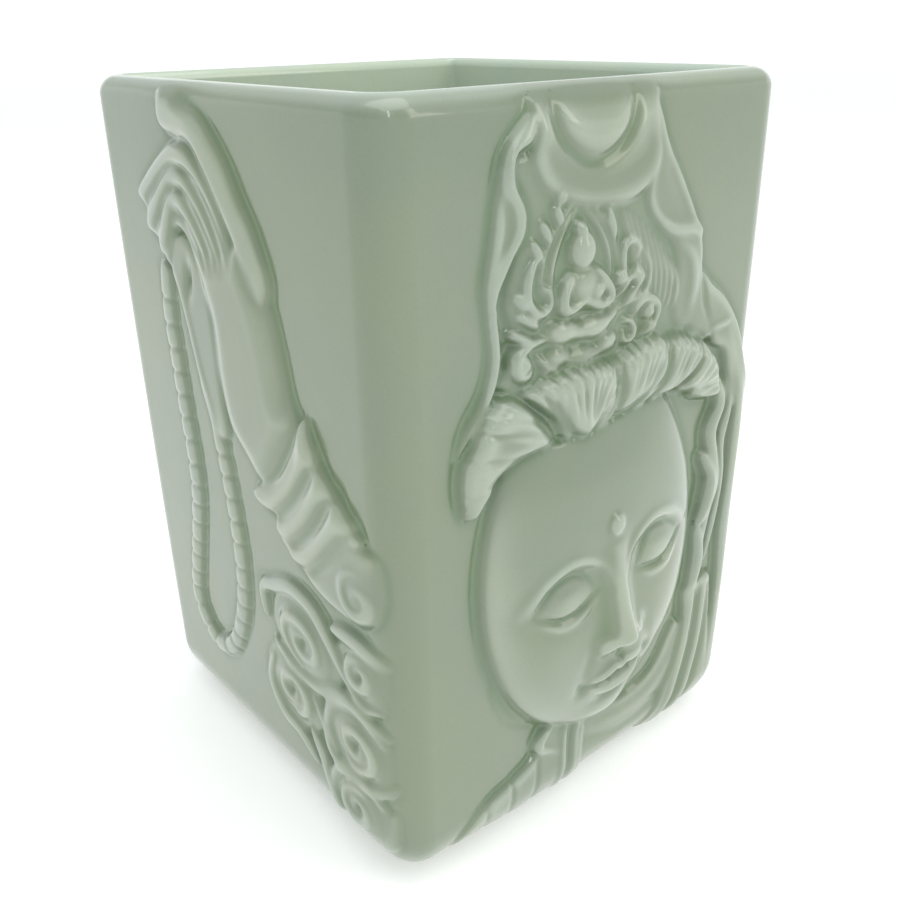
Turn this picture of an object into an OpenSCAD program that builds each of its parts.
// Square celadon brush pot: four press-moulded wall slabs luted at mitred corners,
// a floor slab and foot ring, and applied relief in sprigs on each wall.
// Millimetres, +Z up. Origin at the centre of the foot's resting face.
// The portrait relief is on the -Y wall and the hand relief on the -X wall.

/* [Pot] */
// Outside width, along X
width = 80; // [64:1:110]
// Outside depth, along Y
depth = 80; // [64:1:110]
// Overall height, foot to rim
height = 120; // [90:1:160]
// Thickness of a wall slab
wall = 4.8; // [3.6:0.1:6.5]
// Outside radius of the vertical corners
corner_r = 9; // [7.5:0.5:12]
// Thickness of the floor slab
floor_t = 6.5; // [4:0.5:9]

/* [Foot] */
// Height of the unglazed foot ring under the floor
foot_h = 1; // [0.6:0.1:2]
// Width of the foot ring's resting face
foot_w = 4; // [3:0.5:6]
// Distance from the floor slab's edge in to the foot ring
foot_inset = 1.2; // [0.5:0.1:3]

/* [Relief] */
// Height of the face above its wall
face_h = 8; // [5:0.5:9]
// Height of the hair, veil and robe above the wall
drape_h = 4; // [2.5:0.5:6]
// Thickness of the crown's backing plate
crown_t = 2.2; // [1.5:0.1:3]
// Height of the hand and fingers above their wall
hand_h = 3.6; // [2.5:0.1:5]
// Height of the cloud scrolls above the walls
cloud_h = 2; // [1:0.1:3]
// Radius of one prayer bead
bead_r = 1.75; // [1.2:0.05:2]

/* [Hidden] */

glaze = [0.64, 0.72, 0.62];
glaze_light = [0.72, 0.79, 0.70];
glaze_deep = [0.54, 0.64, 0.53];
biscuit = [0.85, 0.78, 0.68];

$fn = 48;
// The artwork is laid out on a wall of this width and height, and stretches with the pot.
art_w = 80;
art_h = 120;
gap = 0.2;                        // glaze line between neighbouring sprigs
core_x = width / 2 - corner_r;    // half the floor slab, and the corner arcs' centres
core_y = depth / 2 - corner_r;
wall_z = foot_h;                  // underside of the walls and floor
floor_z = foot_h + floor_t;       // top of the floor, where the cavity starts
rim_r = wall / 2;

// ---- outlines and sweeps -------------------------------------------------

// Catmull-Rom curve through points, closed or open, with n steps from each point to the next
function spline(p, n = 5, closed = true) =
    let (c = len(p), last = closed ? c : c - 1)
    [for (i = [0 : last - 1], j = [0 : n - 1]) spline_at(p, i, j / n, closed),
     if (!closed) p[c - 1]];

function spline_at(p, i, t, closed) =
    let (c = len(p),
        a = p[closed ? (i + c - 1) % c : max(i - 1, 0)],
        b = p[i],
        d = p[closed ? (i + 1) % c : i + 1],
        e = p[closed ? (i + 2) % c : min(i + 2, c - 1)])
    0.5 * (2 * b + (d - a) * t + (2 * a - 5 * b + 4 * d - e) * t * t
        + (3 * b - a - 3 * d + e) * t * t * t);

// Ellipse about c, turned by tilt. lean above 0 makes the top wider than the bottom.
function oval(c, rx, ry, tilt = 0, lean = 0, n = 28) =
    [for (i = [0 : n - 1])
        let (a = 360 * i / n,
            x = rx * cos(a) * (1 + lean * sin(a)),
            y = ry * sin(a))
        [c.x + x * cos(tilt) - y * sin(tilt), c.y + x * sin(tilt) + y * cos(tilt)]];

// Spiral from radius r0 out to r1 over some turns
function spiral(c, r0, r1, turns, start, hand = 1, n = 12) =
    [for (i = [0 : n * turns])
        let (f = i / (n * turns), a = start + hand * 360 * turns * f, r = r0 + (r1 - r0) * f)
        [c.x + r * cos(a), c.y + r * sin(a)]];

function mean(p) = [for (k = [0 : 1]) [for (q = p) q[k]] * [for (q = p) 1] / len(p)];

// The artwork's points on a wall as wide as span
function placed(p, span) = [for (q = p) [q.x * span / art_w, q.y * height / art_h]];

function dist(a, b) = norm(b - a);

// Domed pad over a star-shaped outline: rings shrink towards the middle as they rise
module pillow(outline, h, rings = 5, base = 0) {
    c = mean(outline);
    n = len(outline);
    turn = 78;
    points = [
        for (k = [0 : rings]) let (a = turn * k / rings, s = cos(a), z = base + h * sin(a) / sin(turn))
            for (q = outline) [c.x + (q.x - c.x) * s, c.y + (q.y - c.y) * s, z]
    ];
    faces = [
        [for (i = [0 : n - 1]) i],
        for (k = [0 : rings - 1], i = [0 : n - 1])
            let (a = k * n + i, b = k * n + (i + 1) % n) [a, a + n, b + n, b],
        [for (i = [n - 1 : -1 : 0]) rings * n + i]
    ];
    polyhedron(points, faces, convexity = 6);
}

// Half-round band swept along a path on the wall, narrower towards its ends
module band(path, w, h, ends = 0.45, base = 0, sides = 6) {
    n = len(path);
    points = [
        for (i = [0 : n - 1])
            let (d = path[min(i + 1, n - 1)] - path[max(i - 1, 0)],
                across = [-d.y, d.x] / norm(d),
                s = ends + (1 - ends) * pow(sin(180 * (i + 0.5) / n), 0.5))
            for (k = [0 : sides])
                let (a = 180 * k / sides, q = path[i] + across * (w / 2 * s * cos(a)))
                [q.x, q.y, base + h * s * sin(a)]
    ];
    m = sides + 1;
    faces = [
        [for (k = [0 : sides]) k],
        for (i = [0 : n - 2], k = [0 : sides])
            let (a = i * m + k, b = i * m + (k + 1) % m) [a, a + m, b + m, b],
        [for (k = [sides : -1 : 0]) (n - 1) * m + k]
    ];
    polyhedron(points, faces, convexity = 6);
}

// ---- where the artwork goes: x to the right, y up and z out of the wall ---

module on_front() translate([0, -depth / 2, 0]) rotate([90, 0, 0]) children();
module on_left() rotate([0, 0, -90]) translate([0, -width / 2, 0]) rotate([90, 0, 0]) children();
module on_right() rotate([0, 0, 90]) translate([0, -width / 2, 0]) rotate([90, 0, 0]) children();
module on_back() rotate([0, 0, 180]) translate([0, -depth / 2, 0]) rotate([90, 0, 0]) children();

// ---- the pot -------------------------------------------------------------

// Section of a wall: x runs outwards from the corner arcs' centres, y is up.
module wall_section() {
    inner = corner_r - wall;
    difference() {
        union() {
            translate([0, wall_z + corner_r]) circle(r = corner_r);
            translate([0, wall_z + corner_r]) square([corner_r, height - rim_r - wall_z - corner_r]);
            translate([inner + rim_r, height - rim_r]) circle(r = rim_r);
        }
        translate([-2 * corner_r, 0]) square([2 * corner_r, 2 * height]);
        translate([-1, floor_z]) square([inner + 1, 2 * height]);
    }
}

// One slab: the straight run, and each corner cut back to its 45 degree mitre
module wall_slab(run, out) {
    difference() {
        union() {
            translate([-run / 2, -out, 0]) rotate([90, 0, 90]) mirror([1, 0, 0])
                linear_extrude(run) wall_section();
            translate([run / 2, -out, 0]) rotate([0, 0, -90]) rotate_extrude(angle = 90) wall_section();
            translate([-run / 2, -out, 0]) rotate([0, 0, 180]) rotate_extrude(angle = 90) wall_section();
        }
        for (side = [-1, 1])
            translate([side * run / 2, -out, -1])
                rotate([0, 0, side > 0 ? -45 : 135]) cube([2 * corner_r, 2 * corner_r, 2 * height]);
    }
}

module wall_front() color(glaze) wall_slab(2 * core_x, core_y);
module wall_back() color(glaze) rotate([0, 0, 180]) wall_slab(2 * core_x, core_y);
module wall_left() color(glaze) rotate([0, 0, -90]) wall_slab(2 * core_y, core_x);
module wall_right() color(glaze) rotate([0, 0, 90]) wall_slab(2 * core_y, core_x);

module floor_slab() color(glaze_deep)
    translate([-core_x, -core_y, wall_z]) cube([2 * core_x, 2 * core_y, floor_t]);

module rounded_plate(half_x, half_y, r, h) {
    for (x = [-1, 1], y = [-1, 1])
        translate([x * (half_x - r), y * (half_y - r), 0]) cylinder(r = r, h = h);
    translate([-half_x, r - half_y, 0]) cube([2 * half_x, 2 * (half_y - r), h]);
    translate([r - half_x, -half_y, 0]) cube([2 * (half_x - r), 2 * half_y, h]);
}

module foot_ring() color(biscuit) {
    outer_x = core_x - foot_inset;
    outer_y = core_y - foot_inset;
    foot_r = 5;
    difference() {
        rounded_plate(outer_x, outer_y, foot_r, foot_h);
        translate([0, 0, -1])
            rounded_plate(outer_x - foot_w, outer_y - foot_w, foot_r - foot_w / 2, foot_h + 2);
    }
}

// ---- portrait relief on the front wall -----------------------------------

head_tilt = 5;
head_c = [-3, 44];
face_rx = 24;
face_ry = 26;
nose_h = 1.6;
nose_w = 6.4;
urna_y = 58;
function face_outline() = oval(head_c, face_rx, face_ry, head_tilt, 0.12, 40);

module topknot() color(glaze_light) on_front()
    pillow(placed(oval([-6, 110.5], 6.5, 6.2), width), drape_h);

module veil_fold() color(glaze) on_front()
    band(placed(spline([[-15, 108], [-12, 103.5], [-6, 101.5], [0, 103.5], [3.5, 108]], 5, false), width),
        2.8, drape_h);

module veil_left() color(glaze) on_front()
    band(placed(spline([[-15, 115], [-20, 111], [-22.5, 103], [-23, 94], [-24, 86], [-28, 79]], 4, false),
        width), 5, drape_h);

module veil_right() color(glaze) on_front()
    band(placed(spline([[4, 115], [9, 109], [13, 100], [17.5, 91], [23, 84.5], [27.5, 78]], 4, false),
        width), 6, drape_h);

crown_outline = [[-19, 98], [-13, 99.6], [-6, 97.4], [1, 99.6], [7, 97.5], [11, 90.5], [9.5, 85.2],
    [-3, 83.6], [-18.5, 84.6], [-19.8, 91]];
module crown_plate() color(glaze_deep) on_front()
    linear_extrude(crown_t) polygon(placed(spline(crown_outline, 3), width));

module crown_figure() color(glaze_light) on_front() {
    // body and crossed knees, then the head above a short gap
    pillow(placed([[-14, 90.6], [-9.5, 90], [-5, 90.6], [-6.2, 92.4], [-7.6, 94.2], [-11.4, 94.2],
        [-12.8, 92.4]], width), 1.6, 4, crown_t);
    pillow(placed(oval([-9.5, 96.1], 1.6, 1.5, 0, 0, 16), width), 1.7, 4, crown_t);
}

module crown_lotus_seat() color(glaze_light) on_front()
    for (petal = [-2 : 2])
        pillow(placed(oval([-9.5 + 2.3 * petal, 87.7 + 0.25 * petal * petal], 1.05, 1.4, -9 * petal, 0, 12),
            width), 1.4, 3, crown_t);

module crown_scrolls() color(glaze_light) on_front()
    for (side = [-1, 1], row = [0 : 2])
        pillow(placed(oval([-4.5 + side * (10.8 - 0.8 * row), 88.6 + 3.4 * row], 1.3, 1.5, side * 20, 0, 12),
            width), 1.3, 3, crown_t);

module hair_locks() color(glaze) on_front() {
    locks = [[-23, 74.6, 20], [-15, 77, 8], [-6.5, 77.9, 2], [2, 78, -4], [10.4, 77, -14]];
    for (k = locks)
        pillow(placed(oval([k[0], k[1]], 4, 5.2, k[2], 0.1, 20), width), drape_h, 4);
}

module side_hair() color(glaze_deep) on_front()
    pillow(placed(oval([18.6, 73.6], 4, 5.6, -28, 0, 20), width), drape_h - 0.8, 4);

// A plain egg with a straight nose: the finished features belong to the visual model.
module face_egg() pillow(placed(face_outline(), width), face_h - nose_h, 6);

module face() color(glaze_light) on_front() {
    face_egg();
    band(placed([for (y = [52, 47, 42, 37]) [head_c.x + (head_c.y - y) * sin(head_tilt), y]], width),
        nose_w, face_h, 0.8);
}

module urna_dot() color(glaze_light) on_front()
    difference() {
        translate([head_c.x * width / art_w, urna_y * height / art_h, 0]) cylinder(r = 1.3, h = face_h - nose_h);
        face_egg();
    }

module ear_right() color(glaze) on_front()
    pillow(placed(oval([25.6, 48], 2.6, 9, 4, 0.1, 20), width), drape_h - 1, 4);

module neck() color(glaze) on_front()
    pillow(placed([[-12.5, 15.6], [-8, 14.2], [-3, 13.5], [3, 13.6], [5, 12.2], [3, 11], [-12.5, 11]], width),
        2, 3);

module robe_left() color(glaze) on_front()
    for (k = [0 : 3])
        band(placed(spline([[-11 - 4 * k, 10.2 + 5.5 - 1.2 * k], [-12.4 - 4.1 * k, 13 - 0.8 * k],
            [-13.4 - 4.2 * k, 10.6]], 3, false), width), 3.4, drape_h - 1.6);

module robe_right() color(glaze) on_front()
    for (k = [0 : 2])
        band(placed(spline([[26.4 - 2 * k, 32 - 7 * k], [22 - 3.2 * k, 20.6 - 4.4 * k],
            [16.6 - 3.4 * k, 11.4 - 0.1 * k]], 4, false), width), 3.2, drape_h - 1);

// ---- hand relief on the left wall ----------------------------------------

module shawl() color(glaze) on_left()
    band(placed(spline([[-15, 115], [-5, 114.5], [2, 110.5], [8, 102], [13, 93], [16.6, 83]], 4, false), depth),
        4, drape_h - 1);

module hand_back() color(glaze_light) on_left()
    pillow(placed([[-2, 97.5], [4, 97.2], [8.6, 92], [12.2, 84], [12.6, 76], [9, 69.4], [3.6, 69], [-1, 74],
        [-2.8, 82], [-2.6, 90]], depth), hand_h, 6);

module fingers() color(glaze_light) on_left()
    for (k = [0 : 2])
        band(placed(spline([[-18 + 2 * k, 101.5 - 3.4 * k], [-10 + 0.6 * k, 107.6 - 3.7 * k],
            [-3 + 0.2 * k, 106.2 - 3.6 * k], [3.6 - 1.6 * k, 99.6 - 0.4 * k]], 4, false), depth),
            3.2, hand_h - 0.6);

module thumb() color(glaze_light) on_left()
    band(placed(spline([[-14.6, 91], [-9.6, 91.4], [-6, 86], [-4.9, 78.5]], 4, false), depth),
        3, hand_h - 1);

module sleeve_cuffs() color(glaze) on_left()
    for (k = [0 : 2])
        band(placed(spline([[3.4 + 5.4 * k, 65.6 - 6.4 * k], [9.4 + 5 * k, 64 - 5.4 * k],
            [14.6 + 4.6 * k, 67.6 - 5 * k], [17 + 4.4 * k, 73.6 - 5.2 * k]], 4, false), depth),
            4.4, drape_h - 0.6);

module sleeve_hem() color(glaze) on_left()
    band(placed(spline([[20, 49.4], [24.6, 51.4], [27.6, 55.4], [29, 60]], 4, false), depth),
        3.4, drape_h - 1);

bead_path = [[-15.5, 88], [-17.5, 78], [-16.8, 66], [-15, 54], [-16.5, 43], [-20.5, 33], [-22, 26],
    [-18, 22], [-11, 24], [-5, 31], [-1.5, 41], [-2, 51], [-4.5, 60.5]];
bead_pitch = 2 * bead_r + gap;
module prayer_beads() color(glaze_light) on_left() {
    line = placed(spline(bead_path, 8, false), depth);
    along = [for (i = 0, s = 0; i < len(line); s = s + (i + 1 < len(line) ? dist(line[i], line[i + 1]) : 0),
        i = i + 1) s];
    count = floor(along[len(along) - 1] / bead_pitch);
    for (k = [0 : count]) {
        at = k * bead_pitch;
        i = max([for (j = [0 : len(along) - 2]) if (along[j] <= at) j]);
        q = line[i] + (line[i + 1] - line[i]) * (at - along[i]) / (along[i + 1] - along[i]);
        intersection() {
            translate([q.x, q.y, 0]) sphere(r = bead_r);
            translate([q.x - bead_r, q.y - bead_r, 0]) cube(2 * bead_r);
        }
    }
}

// ---- cloud scrolls -------------------------------------------------------

// Each row is centre x, centre y, outer radius, starting angle, hand
left_clouds = [[12.5, 36.5, 5.6, 200, 1], [25.2, 38, 4, 60, -1], [7.6, 22.8, 5.2, 170, 1],
    [21.2, 24.6, 5.6, 20, -1], [22.4, 12.8, 3.6, 120, 1]];
right_clouds = [[-22, 24, 6, 200, 1], [-8, 17, 5.4, 20, -1], [6, 22, 6, 200, 1], [20, 15.4, 5, 60, -1],
    [22.5, 30, 4.6, 160, 1], [-24, 40, 4, 10, -1]];
back_clouds = [[-22, 17, 5.4, 20, -1], [-8.5, 23, 6, 200, 1], [5.5, 16.4, 5, 60, -1],
    [18.5, 24, 6, 190, 1], [-24, 32, 4, 10, -1]];

module clouds(list, span) color(glaze)
    for (c = list)
        band(placed(spiral([c[0], c[1]], 1.5, c[2] - 0.9, 1.5, c[3], c[4], 14), span), 1.8, cloud_h, 0.6, 0, 5);

module clouds_left() on_left() clouds(left_clouds, depth);
module clouds_right() on_right() clouds(right_clouds, depth);
module clouds_back() on_back() clouds(back_clouds, width);

wall_front();
wall_left();
wall_right();
wall_back();
floor_slab();
foot_ring();
topknot();
veil_fold();
veil_left();
veil_right();
crown_plate();
crown_figure();
crown_lotus_seat();
crown_scrolls();
hair_locks();
side_hair();
face();
urna_dot();
ear_right();
neck();
robe_left();
robe_right();
shawl();
hand_back();
fingers();
thumb();
sleeve_cuffs();
sleeve_hem();
prayer_beads();
clouds_left();
clouds_right();
clouds_back();
